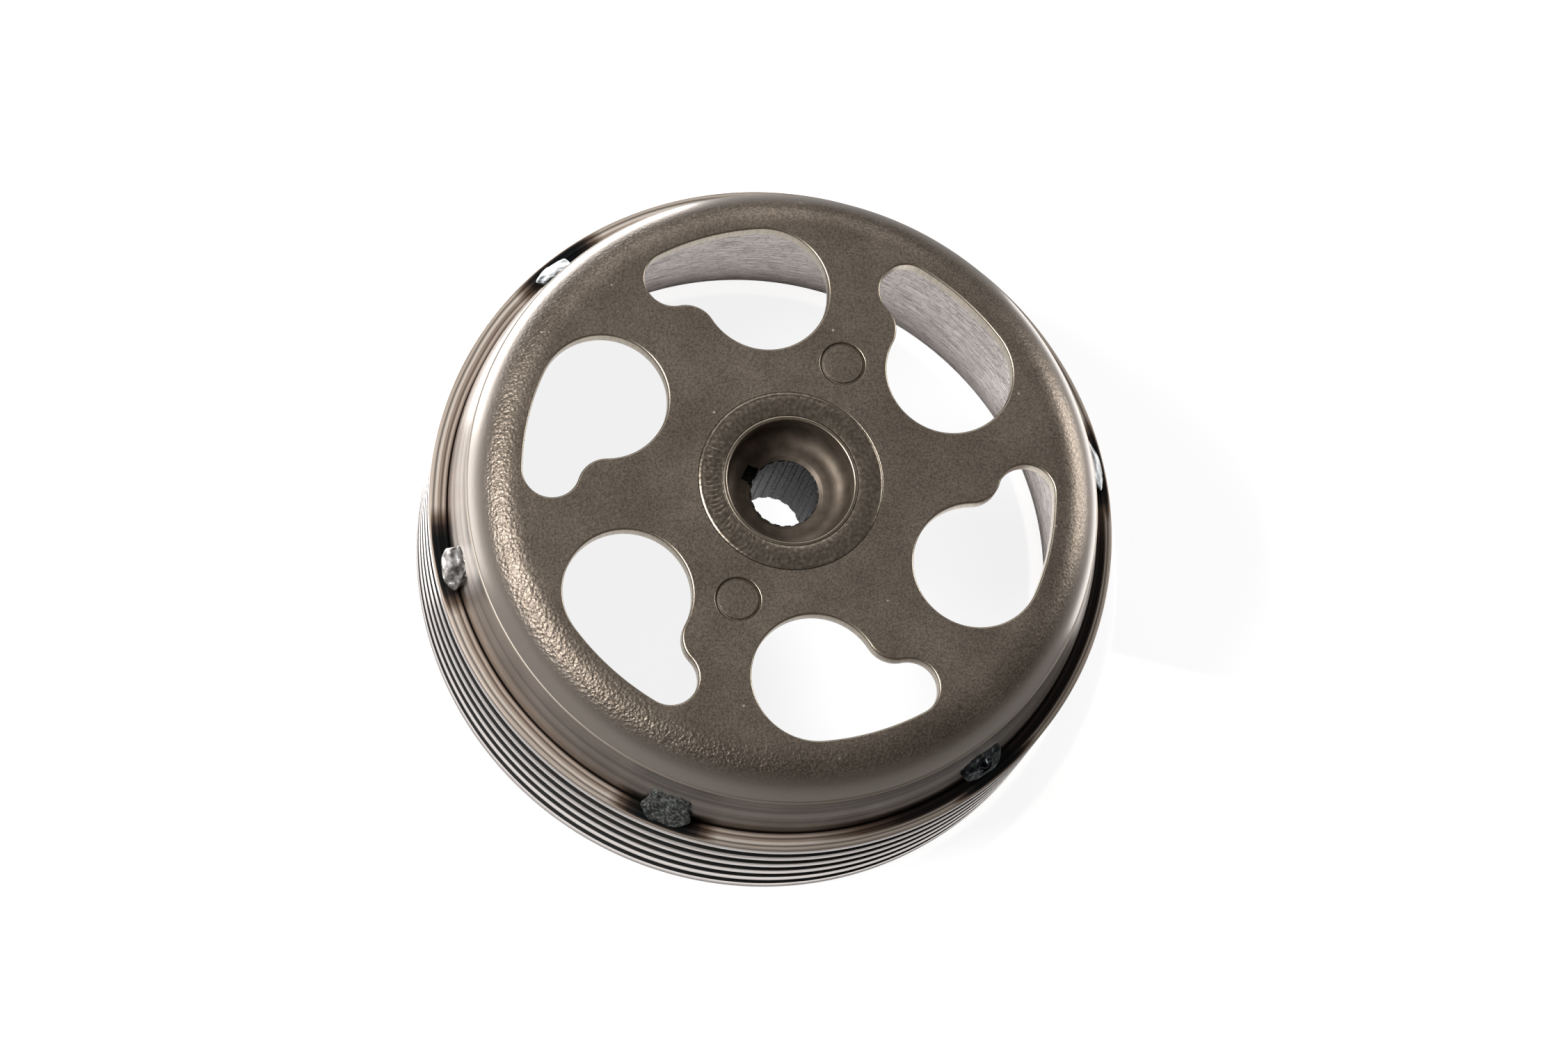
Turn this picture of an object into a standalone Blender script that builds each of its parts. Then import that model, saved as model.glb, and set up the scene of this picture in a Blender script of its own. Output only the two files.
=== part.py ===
"""Finned clutch bell: a pressed steel cup with a shrunk-on cooling ring and a welded hub.

The bell stands on its open mouth. The origin is on the axis in the plane of the mouth,
+Z runs up through the hub to the closed web, and +Y points at the top of the first window.
"""
import math

import bmesh
import bpy
from mathutils import Matrix

# Driving dimensions, in metres.
DEPTH = 0.0595               # mouth rim to the front of the web
FRICTION_RADIUS = 0.0670     # the turned inner wall that the shoes grip
WALL = 0.0042                # thickness of the drum wall
WEB = 0.0035                 # thickness of the closed end
CORNER_RADIUS = 0.0116       # outside of the pressed corner
WEB_FLAT_RADIUS = 0.0571     # where the flat web ends and the corner starts
GAP = 0.0003                 # clearance kept between neighbouring solids

RING_RADIUS = 0.0753         # tips of the cooling fins
RING_BOTTOM = 0.0014         # rear face of the ring above the mouth
RING_TOP = 0.0352            # front face of the ring
FIN_COUNT = 6
FIN_PITCH = 0.0061
FIN_LAND = 0.0030
FIN_DEPTH = 0.0027

WINDOW_COUNT = 6
WINDOW_OUTER_RADIUS = 0.0574  # outer edge, concentric with the bell
BIG_LOBE_RADIUS = 0.0138
BIG_LOBE_ANGLE = math.radians(97.2)
SMALL_LOBE_RADIUS = 0.0061
SMALL_LOBE_ANGLE = math.radians(120.0)
WAIST_RADIUS = 0.0066        # the web's bulge between the two lobes

HUB_FIT_RADIUS = 0.0165      # spigot in the web's centre hole
HUB_FLANGE_RADIUS = 0.0190
HUB_BARREL_RADIUS = 0.0120
HUB_LENGTH = 0.0359
NUT_POCKET_RADIUS = 0.01364
NUT_POCKET_DEPTH = 0.00845
SPLINE_COUNT = 20
SPLINE_MINOR_RADIUS = 0.0072
SPLINE_MAJOR_RADIUS = 0.0080

WELD_PREP_DEPTH = 0.0023
WELD_INNER_RADIUS = 0.0146
WELD_OUTER_RADIUS = 0.0198
WELD_CROWN = 0.0005

PLUG_RADIUS = 0.0046
PLUG_CIRCLE_RADIUS = 0.0292
PLUG_ANGLE = math.radians(67.3)

NOTCH_ANGLE = math.radians(154.0)
NOTCH_WIDTH = 0.0036
NOTCH_REACH = 0.0090         # from the axis to the notch's outer side
NOTCH_DEPTH = 0.0015         # below the floor of the nut pocket

# Each ring weld was laid by hand: where it lies round the ring, in degrees, and its width.
TACKS = ((10.9, 0.0110), (70.9, 0.0110), (132.0, 0.0105),
         (192.4, 0.0094), (250.9, 0.0120), (310.2, 0.0112))
TACK_TOP = 0.0435

SEGMENTS = 72


def clear_scene():
    for item in list(bpy.data.objects):
        bpy.data.objects.remove(item, do_unlink=True)


def make_collection(name):
    group = bpy.data.collections.new(name)
    bpy.context.scene.collection.children.link(group)
    return group


def make_material(name, colour, roughness, metallic):
    material = bpy.data.materials.new(name)
    material.use_nodes = True
    shader = material.node_tree.nodes["Principled BSDF"]
    shader.inputs["Base Color"].default_value = (*colour, 1.0)
    shader.inputs["Roughness"].default_value = roughness
    shader.inputs["Metallic"].default_value = metallic
    material.diffuse_color = (*colour, 1.0)
    return material


def new_object(name, mesh, group, material=None):
    item = bpy.data.objects.new(name, mesh)
    group.objects.link(item)
    if material:
        mesh.materials.append(material)
    return item


def smooth(item):
    item.data.shade_smooth()
    item.data.set_sharp_from_angle(angle=math.radians(30))


def arc(centre, radius, start, end, steps):
    """Points on an arc in a plane, from one angle to another, both ends included."""
    points = []
    for i in range(steps + 1):
        angle = start + (end - start) * i / steps
        points.append((centre[0] + radius * math.cos(angle), centre[1] + radius * math.sin(angle)))
    return points


def turned(name, profile, group, material, steps=SEGMENTS):
    """Turn a closed (radius, height) profile about Z. It runs down the outer side."""
    mesh = bpy.data.meshes.new(name)
    bm = bmesh.new()
    corners = [bm.verts.new((radius, 0.0, height)) for radius, height in profile]
    for i, corner in enumerate(corners):
        bm.edges.new((corner, corners[(i + 1) % len(corners)]))
    bm.to_mesh(mesh)
    bm.free()
    item = new_object(name, mesh, group, material)
    screw = item.modifiers.new("Turn", "SCREW")
    screw.steps = steps
    screw.render_steps = steps
    screw.use_merge_vertices = True
    screw.merge_threshold = 0.00002
    screw.use_smooth_shade = True
    return item


def prism(name, outline, bottom, top, group, material=None):
    """Extrude a flat outline, given counterclockwise, between two heights."""
    mesh = bpy.data.meshes.new(name)
    bm = bmesh.new()
    face = bm.faces.new([bm.verts.new((x, y, bottom)) for x, y in outline])
    raised = bmesh.ops.extrude_face_region(bm, geom=[face])
    lifted = [v for v in raised["geom"] if isinstance(v, bmesh.types.BMVert)]
    bmesh.ops.translate(bm, verts=lifted, vec=(0.0, 0.0, top - bottom))
    bmesh.ops.recalc_face_normals(bm, faces=bm.faces)
    bm.to_mesh(mesh)
    bm.free()
    return new_object(name, mesh, group, material)


def swept(name, profile, sweep, steps, group, material):
    """Spin a closed (radius, height) profile part of the way round Z, and close both ends."""
    mesh = bpy.data.meshes.new(name)
    bm = bmesh.new()
    corners = [bm.verts.new((radius, 0.0, height)) for radius, height in profile]
    for i, corner in enumerate(corners):
        bm.edges.new((corner, corners[(i + 1) % len(corners)]))
    bmesh.ops.rotate(bm, verts=bm.verts, matrix=Matrix.Rotation(-sweep / 2, 3, "Z"))
    bmesh.ops.spin(bm, geom=bm.verts[:] + bm.edges[:], axis=(0.0, 0.0, 1.0),
                   cent=(0.0, 0.0, 0.0), angle=sweep, steps=steps)
    bmesh.ops.holes_fill(bm, edges=[edge for edge in bm.edges if edge.is_boundary])
    bmesh.ops.recalc_face_normals(bm, faces=bm.faces)
    bm.to_mesh(mesh)
    bm.free()
    return new_object(name, mesh, group, material)


def cylinder(name, radius, bottom, top, group, place=(0.0, 0.0), material=None, segments=32):
    mesh = bpy.data.meshes.new(name)
    bm = bmesh.new()
    spot = Matrix.Translation((place[0], place[1], (bottom + top) / 2))
    bmesh.ops.create_cone(bm, cap_ends=True, segments=segments, radius1=radius, radius2=radius,
                          depth=top - bottom, matrix=spot)
    bm.to_mesh(mesh)
    bm.free()
    return new_object(name, mesh, group, material)


def cut(item, cutter):
    cutter.hide_render = True
    cutter.display_type = "WIRE"
    boolean = item.modifiers.new("Cut " + cutter.name, "BOOLEAN")
    boolean.operation = "DIFFERENCE"
    boolean.solver = "EXACT"
    boolean.object = cutter


def polar(radius, angle):
    return radius * math.cos(angle), radius * math.sin(angle)


def direction(start, end):
    return math.atan2(end[1] - start[1], end[0] - start[0])


def window_outline():
    """One window: two lobes against a common outer arc, with a bulge of web between them."""
    big = polar(WINDOW_OUTER_RADIUS - BIG_LOBE_RADIUS, BIG_LOBE_ANGLE)
    small = polar(WINDOW_OUTER_RADIUS - SMALL_LOBE_RADIUS, SMALL_LOBE_ANGLE)
    # The waist's circle touches both lobes from outside, on the hub's side of them.
    reach_big = BIG_LOBE_RADIUS + WAIST_RADIUS
    reach_small = SMALL_LOBE_RADIUS + WAIST_RADIUS
    span = math.dist(big, small)
    along = (span ** 2 + reach_big ** 2 - reach_small ** 2) / (2 * span)
    aside = math.sqrt(reach_big ** 2 - along ** 2)
    heading = direction(big, small)
    waist = (big[0] + along * math.cos(heading) - aside * math.sin(heading),
             big[1] + along * math.sin(heading) + aside * math.cos(heading))
    turn = 2 * math.pi
    points = arc((0.0, 0.0), WINDOW_OUTER_RADIUS, BIG_LOBE_ANGLE, SMALL_LOBE_ANGLE, 6)
    points += arc(small, SMALL_LOBE_RADIUS, SMALL_LOBE_ANGLE,
                  direction(small, waist) % turn, 7)[1:]
    points += arc(waist, WAIST_RADIUS, direction(waist, small) % turn,
                  direction(waist, big) % turn, 6)[1:]
    points += arc(big, BIG_LOBE_RADIUS, direction(big, waist) % turn,
                  BIG_LOBE_ANGLE + turn, 18)[1:-1]
    return points


clear_scene()
parts = make_collection("clutch_bell")
cutters = make_collection("cutters")

pressed_steel = make_material("pressed_steel", (0.115, 0.100, 0.088), 0.48, 0.9)
turned_steel = make_material("turned_steel", (0.38, 0.34, 0.31), 0.35, 1.0)
hub_steel = make_material("hub_steel", (0.20, 0.18, 0.16), 0.40, 1.0)
weld_metal = make_material("weld_metal", (0.30, 0.31, 0.32), 0.30, 1.0)

# Drum shell: one pressed cup. The wall steps out behind the corner, where it is turned
# to take the ring outside and the shoes inside.
corner_height = DEPTH - CORNER_RADIUS
drum_radius = FRICTION_RADIUS + WALL
shoulder_radius = WEB_FLAT_RADIUS + CORNER_RADIUS
inner_corner_radius = CORNER_RADIUS - WEB
hole_radius = HUB_FIT_RADIUS + GAP
prep_bottom = DEPTH - WELD_PREP_DEPTH
outer_corner = arc((WEB_FLAT_RADIUS, corner_height), CORNER_RADIUS, math.pi / 2, 0.0, 10)
inner_corner = arc((WEB_FLAT_RADIUS, corner_height), inner_corner_radius, 0.0, math.pi / 2, 8)
shell_profile = [(WELD_OUTER_RADIUS + GAP, DEPTH)]
shell_profile += outer_corner
shell_profile += [
    (drum_radius, RING_TOP + 0.0020),
    (drum_radius, 0.0005),
    (drum_radius - 0.0005, 0.0),
    (FRICTION_RADIUS + 0.0006, 0.0),
    (FRICTION_RADIUS, 0.0006),
    (FRICTION_RADIUS, RING_TOP + 0.0030),
    (WEB_FLAT_RADIUS + inner_corner_radius, corner_height - 0.0035),
]
shell_profile += inner_corner
shell_profile += [
    (hole_radius, DEPTH - WEB),
    (hole_radius, prep_bottom),
    (WELD_OUTER_RADIUS - 0.0016, prep_bottom),
]
drum_shell = turned("drum_shell", shell_profile, parts, pressed_steel)

outline = window_outline()
for i in range(WINDOW_COUNT):
    swing = 2 * math.pi * i / WINDOW_COUNT
    turned_outline = [(x * math.cos(swing) - y * math.sin(swing),
                       x * math.sin(swing) + y * math.cos(swing)) for x, y in outline]
    cut(drum_shell, prism(f"window_cutter_{i + 1}", turned_outline, DEPTH - 0.0080,
                          DEPTH + 0.0020, cutters))

# Locating plugs: two steel discs pressed flush into round holes, opposite each other.
for i in range(2):
    place = polar(PLUG_CIRCLE_RADIUS, PLUG_ANGLE + math.pi * i)
    cut(drum_shell, cylinder(f"plug_hole_cutter_{i + 1}", PLUG_RADIUS + GAP, DEPTH - 0.0060,
                             DEPTH + 0.0020, cutters, place))
    plug = cylinder(f"locating_plug_{i + 1}", PLUG_RADIUS, DEPTH - WEB, DEPTH, parts, place,
                    pressed_steel)
    smooth(plug)

# Cooling ring: one turned ring, shrunk on the drum, with square fins and grooves.
ring_inner = drum_radius + GAP
root_radius = RING_RADIUS - FIN_DEPTH
ring_profile = [(ring_inner, RING_TOP)]
for i in range(FIN_COUNT):
    land_top = RING_TOP - FIN_PITCH * i
    land_bottom = land_top - FIN_LAND
    if i > 0:
        ring_profile.append((root_radius, land_top))
    ring_profile.append((RING_RADIUS - 0.0002, land_top))
    ring_profile.append((RING_RADIUS, land_top - 0.0002))
    if i < FIN_COUNT - 1:
        ring_profile.append((RING_RADIUS, land_bottom))
        ring_profile.append((root_radius, land_bottom))
ring_profile += [(RING_RADIUS, RING_BOTTOM), (ring_inner, RING_BOTTOM)]
turned("cooling_ring", ring_profile, parts, turned_steel)

# Hub: a turned sleeve with a flange behind the web, a nut pocket and a splined bore.
flange_top = DEPTH - WEB - GAP
hub_bottom = DEPTH - HUB_LENGTH
pocket_floor = DEPTH - NUT_POCKET_DEPTH
hub_profile = [
    (WELD_INNER_RADIUS - GAP, DEPTH),
    (HUB_FIT_RADIUS - GAP, prep_bottom),
    (HUB_FIT_RADIUS, prep_bottom),
    (HUB_FIT_RADIUS, flange_top),
    (HUB_FLANGE_RADIUS, flange_top),
    (HUB_FLANGE_RADIUS, pocket_floor - 0.0020),
    (HUB_BARREL_RADIUS, pocket_floor - 0.0060),
    (HUB_BARREL_RADIUS, hub_bottom + 0.0008),
    (HUB_BARREL_RADIUS - 0.0008, hub_bottom),
    (SPLINE_MINOR_RADIUS - 0.0004, hub_bottom),
    (SPLINE_MINOR_RADIUS - 0.0004, pocket_floor),
    (NUT_POCKET_RADIUS, pocket_floor),
    (NUT_POCKET_RADIUS, DEPTH - 0.0004),
    (NUT_POCKET_RADIUS + 0.0003, DEPTH),
]
hub = turned("hub", hub_profile, parts, hub_steel, steps=64)
spline_outline = []
for i in range(SPLINE_COUNT):
    for fraction, radius in ((0.00, SPLINE_MINOR_RADIUS), (0.35, SPLINE_MINOR_RADIUS),
                             (0.50, SPLINE_MAJOR_RADIUS), (0.85, SPLINE_MAJOR_RADIUS)):
        spline_outline.append(polar(radius, 2 * math.pi * (i + fraction) / SPLINE_COUNT))
cut(hub, prism("spline_cutter", spline_outline, hub_bottom - 0.0020, pocket_floor + 0.0010,
               cutters))

# One square keying notch at the mouth of the bore.
notch_inner = SPLINE_MINOR_RADIUS - 0.0008
notch_outline = []
for reach, aside in ((notch_inner, -0.5), (NOTCH_REACH, -0.5), (NOTCH_REACH, 0.5), (notch_inner, 0.5)):
    away, sideways = polar(reach, NOTCH_ANGLE), polar(aside * NOTCH_WIDTH, NOTCH_ANGLE + math.pi / 2)
    notch_outline.append((away[0] + sideways[0], away[1] + sideways[1]))
cut(hub, prism("notch_cutter", notch_outline, pocket_floor - NOTCH_DEPTH, pocket_floor + 0.0010,
               cutters))

# Hub weld: one bead all the way round, in the groove between the hub and the web.
bead_bottom = prep_bottom + GAP
bead_profile = [
    (WELD_INNER_RADIUS, DEPTH + 0.0001),
    (WELD_INNER_RADIUS + 0.0012, DEPTH + WELD_CROWN * 0.9),
    ((WELD_INNER_RADIUS + WELD_OUTER_RADIUS) / 2, DEPTH + WELD_CROWN),
    (WELD_OUTER_RADIUS - 0.0012, DEPTH + WELD_CROWN * 0.7),
    (WELD_OUTER_RADIUS, DEPTH),
    (WELD_OUTER_RADIUS - 0.0018, bead_bottom),
    (HUB_FIT_RADIUS + 0.0001, bead_bottom),
]
turned("hub_weld", bead_profile, parts, weld_metal, steps=64)

# Ring welds: six short beads that tie the ring's front face to the drum wall.
tack_profile = [
    (0.0707, TACK_TOP),
    (0.0733, TACK_TOP - 0.0014),
    (0.0746, RING_TOP + 0.0035),
    (RING_RADIUS - 0.0003, RING_TOP + GAP),
    (drum_radius + GAP, RING_TOP + GAP),
    (drum_radius + GAP, RING_TOP + 0.0020),
    (0.0704, TACK_TOP - 0.0012),
]
for i, (place, width) in enumerate(TACKS):
    sweep = width / (drum_radius + 0.0015)
    tack = swept(f"ring_weld_{i + 1}", tack_profile, sweep, 8, parts, weld_metal)
    tack.rotation_euler.z = math.radians(place)
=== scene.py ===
import math

import bpy
from mathutils import Matrix, Vector, noise


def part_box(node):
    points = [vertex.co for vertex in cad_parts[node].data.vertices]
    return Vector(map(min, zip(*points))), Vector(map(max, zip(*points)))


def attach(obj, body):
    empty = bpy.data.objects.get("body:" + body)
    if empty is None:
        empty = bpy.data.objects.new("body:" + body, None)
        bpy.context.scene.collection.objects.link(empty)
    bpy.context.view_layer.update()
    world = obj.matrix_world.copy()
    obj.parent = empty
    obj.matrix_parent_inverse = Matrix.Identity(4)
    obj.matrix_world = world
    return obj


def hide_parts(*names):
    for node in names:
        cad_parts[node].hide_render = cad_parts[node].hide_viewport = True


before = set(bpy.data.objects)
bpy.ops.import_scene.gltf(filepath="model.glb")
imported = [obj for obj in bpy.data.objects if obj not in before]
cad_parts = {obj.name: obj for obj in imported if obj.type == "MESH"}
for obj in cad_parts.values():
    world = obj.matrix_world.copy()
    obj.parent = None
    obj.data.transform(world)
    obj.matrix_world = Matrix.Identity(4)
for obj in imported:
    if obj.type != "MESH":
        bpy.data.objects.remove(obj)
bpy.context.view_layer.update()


# Drum shell. One cup pressed from a steel disc, with six punched windows and two tooling
# holes in its flat web. Behind the rounded corner the wall is turned on a lathe, outside
# for the cooling ring and inside for the clutch shoes.
shell_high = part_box("drum_shell")[1]
depth = shell_high.z
drum_radius = shell_high.x
friction_radius = drum_radius - 0.0042
web = 0.0035
web_radius = 0.05795
shoulder_radius = 0.0687
corner_height = 0.0116
shell_steps = 288

window_count, window_outer_radius = 6, 0.0574
big_radius, big_angle = 0.0138, math.radians(97.2)
small_radius, small_angle = 0.0061, math.radians(120.0)
waist_radius = 0.0066
front_roll, rear_roll = 0.0005, 0.00025


def polar(radius, angle, height=0.0):
    return Vector((radius * math.cos(angle), radius * math.sin(angle), height))


def arc(centre, radius, start, end, steps):
    return [centre + polar(radius, start + (end - start) * i / steps) for i in range(steps)]


def heading(start, end):
    way = end - start
    return math.atan2(way.y, way.x) % (2 * math.pi)


def window_outline(grow):
    """The window's edge, moved outwards by grow: outer arc, small lobe, waist, big lobe."""
    big = polar(window_outer_radius - big_radius, big_angle)
    small = polar(window_outer_radius - small_radius, small_angle)
    reach_big, reach_small = big_radius + waist_radius, small_radius + waist_radius
    span = (small - big).length
    along = (span ** 2 + reach_big ** 2 - reach_small ** 2) / (2 * span)
    aside = math.sqrt(reach_big ** 2 - along ** 2)
    forward = (small - big).normalized()
    waist = big + forward * along + Vector((-forward.y, forward.x, 0)) * aside
    points = arc(Vector(), window_outer_radius + grow, big_angle, small_angle, 20)
    points += arc(small, small_radius + grow, small_angle, heading(small, waist), 26)
    points += arc(waist, waist_radius - grow, heading(waist, small), heading(waist, big), 20)
    points += arc(big, big_radius + grow, heading(big, waist), big_angle + 2 * math.pi, 62)
    return points


def roll_over(top, bottom, front, rear, steps=6):
    """(growth, height) down a punched edge that is rounded at both of its ends."""
    levels = []
    for i in range(steps + 1):
        bend = math.pi / 2 * i / steps
        levels.append((front * (1 - math.sin(bend)), top - front * (1 - math.cos(bend))))
    for i in range(steps, -1, -1):
        bend = math.pi / 2 * i / steps
        levels.append((rear * (1 - math.sin(bend)), bottom + rear * (1 - math.cos(bend))))
    return levels


def new_piece(name, points, edges=(), faces=()):
    """A mesh object in the scene, selected alone, with these points, edges and faces."""
    bpy.ops.object.select_all(action="DESELECT")
    mesh = bpy.data.meshes.new(name)
    mesh.from_pydata([tuple(point) for point in points], list(edges), list(faces))
    piece = bpy.data.objects.new(name, mesh)
    bpy.context.scene.collection.objects.link(piece)
    piece.select_set(True)
    bpy.context.view_layer.objects.active = piece
    return piece


def loft(name, loops):
    """Skin closed loops that all have the same number of points."""
    count = len(loops[0])
    points = [point for loop in loops for point in loop]
    faces = []
    for k in range(len(loops) - 1):
        for i in range(count):
            j = (i + 1) % count
            a, b = k * count, (k + 1) * count
            faces.append((a + i, a + j, b + j, b + i))
    return new_piece(name, points, faces=faces)


def turn(name, profile, steps, centre=(0.0, 0.0), closed=True):
    """Spin a (radius, height) profile once round an upright axis."""
    points = [(centre[0] + radius, centre[1], height) for radius, height in profile]
    edges = [(i, i + 1) for i in range(len(points) - 1)]
    if closed:
        edges.append((len(points) - 1, 0))
    piece = new_piece(name, points, edges)
    bpy.ops.object.mode_set(mode="EDIT")
    bpy.ops.mesh.select_all(action="SELECT")
    bpy.ops.mesh.spin(steps=steps, angle=2 * math.pi, center=(centre[0], centre[1], 0.0),
                      axis=(0.0, 0.0, 1.0))
    bpy.ops.mesh.select_all(action="SELECT")
    bpy.ops.mesh.remove_doubles(threshold=0.000003)
    bpy.ops.mesh.normals_make_consistent(inside=False)
    bpy.ops.object.mode_set(mode="OBJECT")
    return piece


def join(pieces, name):
    bpy.ops.object.select_all(action="DESELECT")
    for piece in pieces:
        piece.select_set(True)
    bpy.context.view_layer.objects.active = pieces[0]
    bpy.ops.object.join()
    pieces[0].name = name
    return pieces[0]


def fill_flat(piece, height):
    """Fill between the open edges that lie at one height, and leave the new faces flat."""
    bpy.ops.object.mode_set(mode="EDIT")
    bpy.ops.mesh.select_mode(type="EDGE")
    bpy.ops.mesh.select_all(action="DESELECT")
    bpy.ops.mesh.select_non_manifold(extend=False, use_wire=False, use_multi_face=False,
                                     use_non_contiguous=False, use_verts=False)
    bpy.ops.object.mode_set(mode="OBJECT")
    mesh = piece.data
    for edge in mesh.edges:
        if any(abs(mesh.vertices[v].co.z - height) > 0.000002 for v in edge.vertices):
            edge.select = False
    bpy.ops.object.mode_set(mode="EDIT")
    bpy.ops.mesh.fill(use_beauty=True)
    bpy.ops.mesh.select_mode(type="FACE")
    bpy.ops.mesh.faces_shade_flat()
    bpy.ops.object.mode_set(mode="OBJECT")


def ellipse_corner(across, down, start, end, steps):
    """(radius, height) along the cup's corner, which starts level at the web's edge."""
    spots = []
    for i in range(steps + 1):
        turn_by = start + (end - start) * i / steps
        spots.append((web_radius + across * math.sin(turn_by),
                      depth - corner_height + down * math.cos(turn_by)))
    return spots


# The corner keeps its pressed skin down to a small ridge, where the lathe cut begins.
ridge = math.radians(76)
outer_wall = ellipse_corner(shoulder_radius - web_radius, corner_height, 0.0, ridge, 26)
ridge_radius, ridge_height = outer_wall[-1]
outer_wall += [
    (ridge_radius + 0.00016, ridge_height - 0.00008),
    (ridge_radius + 0.00032, ridge_height - 0.00022),
    (ridge_radius + 0.00036, ridge_height - 0.00042),
    (ridge_radius + 0.00014, ridge_height - 0.00058),
    (ridge_radius + 0.00010, ridge_height - 0.00080),
    (ridge_radius + 0.00090, ridge_height - 0.00480),
    (ridge_radius + 0.00180, ridge_height - 0.00900),
    (drum_radius - 0.00035, ridge_height - 0.01120),
    (drum_radius - 0.00010, ridge_height - 0.01230),
    (drum_radius, ridge_height - 0.01350),
    (drum_radius, 0.00050),
    (drum_radius - 0.00015, 0.00015),
    (drum_radius - 0.00050, 0.0),
]
inner_wall = [
    (friction_radius + 0.0006, 0.0),
    (friction_radius + 0.0002, 0.0002),
    (friction_radius, 0.0006),
    (friction_radius, 0.0375),
    (friction_radius - 0.0002, 0.0384),
    (friction_radius - 0.0009, 0.0412),
    (friction_radius - 0.0016, 0.0440),
]
inner_corner = ellipse_corner(shoulder_radius - web_radius - web, corner_height - web,
                              math.pi / 2, 0.0, 16)
wall = turn("wall", outer_wall + inner_wall + inner_corner, shell_steps, closed=False)

# The hub's hole, with the weld's groove cut round it.
hub_seat_radius, weld_groove_depth = 0.0168, 0.0023
seat = turn("seat", [(0.0200, depth), (0.0199, depth - 0.0002),
                     (0.0182, depth - weld_groove_depth),
                     (hub_seat_radius, depth - weld_groove_depth), (hub_seat_radius, depth - web)],
            180, closed=False)

plug_hole_radius, plug_circle, plug_angle = 0.0049, 0.0292, math.radians(67.3)
plug_spots = [polar(plug_circle, plug_angle), polar(plug_circle, plug_angle + math.pi)]
skins = [wall, seat]
for spot in plug_spots:
    edge = [(plug_hole_radius + grow, height)
            for grow, height in roll_over(depth, depth - web, 0.00025, 0.0001, 4)]
    skins.append(turn("plug_hole", edge, 64, (spot.x, spot.y), closed=False))
for i in range(window_count):
    swing = Matrix.Rotation(math.radians(360 / window_count) * i, 3, "Z")
    loops = []
    for grow, height in roll_over(depth, depth - web, front_roll, rear_roll):
        loops.append([swing @ point + Vector((0, 0, height)) for point in window_outline(grow)])
    skins.append(loft("window_edge", loops))

shell = join(skins, "drum_shell_skin")
shell.data.shade_smooth()
fill_flat(shell, depth)
fill_flat(shell, depth - web)
bpy.ops.object.mode_set(mode="EDIT")
bpy.ops.mesh.select_all(action="SELECT")
bpy.ops.mesh.remove_doubles(threshold=0.000003)
bpy.ops.mesh.normals_make_consistent(inside=False)
bpy.ops.object.mode_set(mode="OBJECT")


def linear(text, alpha=1.0):
    """An sRGB hex colour as linear values."""
    values = [int(text[i:i + 2], 16) / 255 for i in (1, 3, 5)]
    return (*[v / 12.92 if v <= 0.04045 else ((v + 0.055) / 1.055) ** 2.4 for v in values], alpha)


def add(tree, kind, inputs=None, **settings):
    """Add a node, set its properties, then set or link its inputs by name or number."""
    item = tree.nodes.new("ShaderNode" + kind)
    for key, value in settings.items():
        setattr(item, key, value)
    for key, value in (inputs or {}).items():
        if isinstance(value, bpy.types.NodeSocket):
            tree.links.new(value, item.inputs[key])
        else:
            item.inputs[key].default_value = value
    return item


def new_material(name):
    material = bpy.data.materials.new(name)
    material.use_nodes = True
    return material, material.node_tree, material.node_tree.nodes["Principled BSDF"]


def ramp(tree, value, pairs):
    """The colour at a value, from (position, hex colour) pairs."""
    item = add(tree, "ValToRGB", {"Fac": value})
    line = item.color_ramp
    while len(line.elements) < len(pairs):
        line.elements.new(0.5)
    for element, (position, colour) in zip(line.elements, pairs):
        element.position = position
        element.color = linear(colour)
    return item.outputs["Color"]


def remap(tree, value, low, high, to_low=0.0, to_high=1.0):
    """Carry the range low to high over to to_low to to_high, and clamp it there."""
    return add(tree, "MapRange", {"Value": value, "From Min": low, "From Max": high,
                                  "To Min": to_low, "To Max": to_high}).outputs["Result"]


def maths(tree, operation, *values):
    return add(tree, "Math", dict(enumerate(values)), operation=operation).outputs[0]


def shift(tree, operation, first, second):
    """A vector sum, product or the like of two vectors."""
    return add(tree, "VectorMath", {0: first, 1: second}, operation=operation).outputs[0]


def blend(tree, factor, first, second, kind="MIX"):
    """Mix two colours."""
    return add(tree, "Mix", {"Factor": factor, 6: first, 7: second}, data_type="RGBA",
               blend_type=kind).outputs[2]


def fog(tree, place, size, detail, roughness=0.5):
    """Soft noise whose patches are this many metres across."""
    return add(tree, "TexNoise", {"Vector": place, "Scale": 1 / size, "Detail": detail,
                                  "Roughness": roughness})


def stretch(tree, place, size):
    """Coordinates in which one repeat of a pattern measures size, in metres each way."""
    return shift(tree, "MULTIPLY", place, tuple(1 / length for length in size))


def gaps(tree, place, size, width, low=0.0):
    """A low value in the cracks between cells of this size, rising to 1 across the width."""
    cells = add(tree, "TexVoronoi", {"Vector": place, "Scale": 1 / size},
                feature="DISTANCE_TO_EDGE")
    return remap(tree, cells.outputs["Distance"], 0.0, width, low)


def from_axis(tree, place):
    """The place flattened onto the web, and its distance from the bell's axis."""
    flat = shift(tree, "MULTIPLY", place, (1.0, 1.0, 0.0))
    return flat, add(tree, "VectorMath", {0: flat}, operation="LENGTH").outputs["Value"]


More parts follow.
